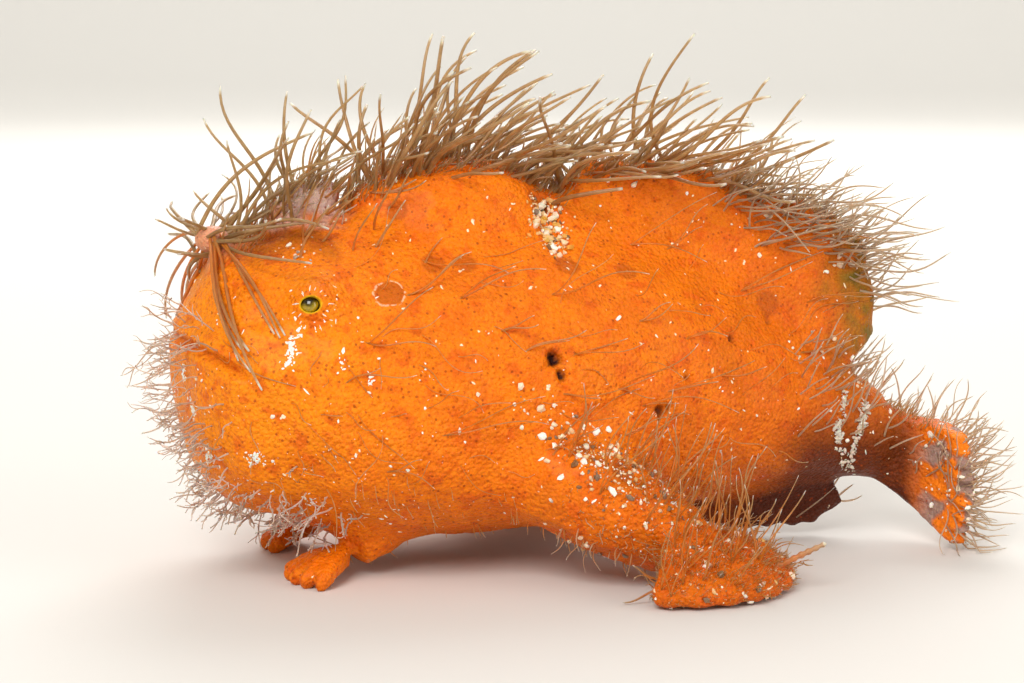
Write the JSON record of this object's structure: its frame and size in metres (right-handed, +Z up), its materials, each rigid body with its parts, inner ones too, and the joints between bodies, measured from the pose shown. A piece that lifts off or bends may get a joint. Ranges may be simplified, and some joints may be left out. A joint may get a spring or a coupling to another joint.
{
  "type": "frogfish model",
  "caption": "Life-size still model of a young hairy orange frogfish, resting on its four arm-like fins, with a curled tail and skin filaments.",
  "frame": {"origin": "on the floor, under the middle of the whole fish's bounding box", "axes": "+Z up, +X towards the tail along the body, head towards -X, the fish's left side towards -Y"},
  "size_m": [0.067, 0.047, 0.039],
  "materials": {
    "orange_skin": "moist, finely warty skin in bright orange",
    "pink_spine_skin": "pale pinkish, lumpy skin",
    "filament_skin": "thin translucent brown skin filaments",
    "olive_eye": "glossy olive eye"
  },
  "bodies": {
    "root": {"head": "orange_skin", "lower_jaw": "orange_skin", "torso": "orange_skin", "tail_stalk": "orange_skin", "third_dorsal_spine": "orange_skin", "second_dorsal_spine": "pink_spine_skin", "illicium": "filament_skin", "soft_dorsal_fin": "orange_skin", "anal_fin": "orange_skin", "tail_fin": "orange_skin", "left_eye": "olive_eye", "right_eye": "olive_eye", "left_arm": "orange_skin", "right_arm": "orange_skin", "left_hand": "orange_skin", "right_hand": "orange_skin", "left_pelvic_fin": "orange_skin", "right_pelvic_fin": "orange_skin"}
  },
  "joints": []
}
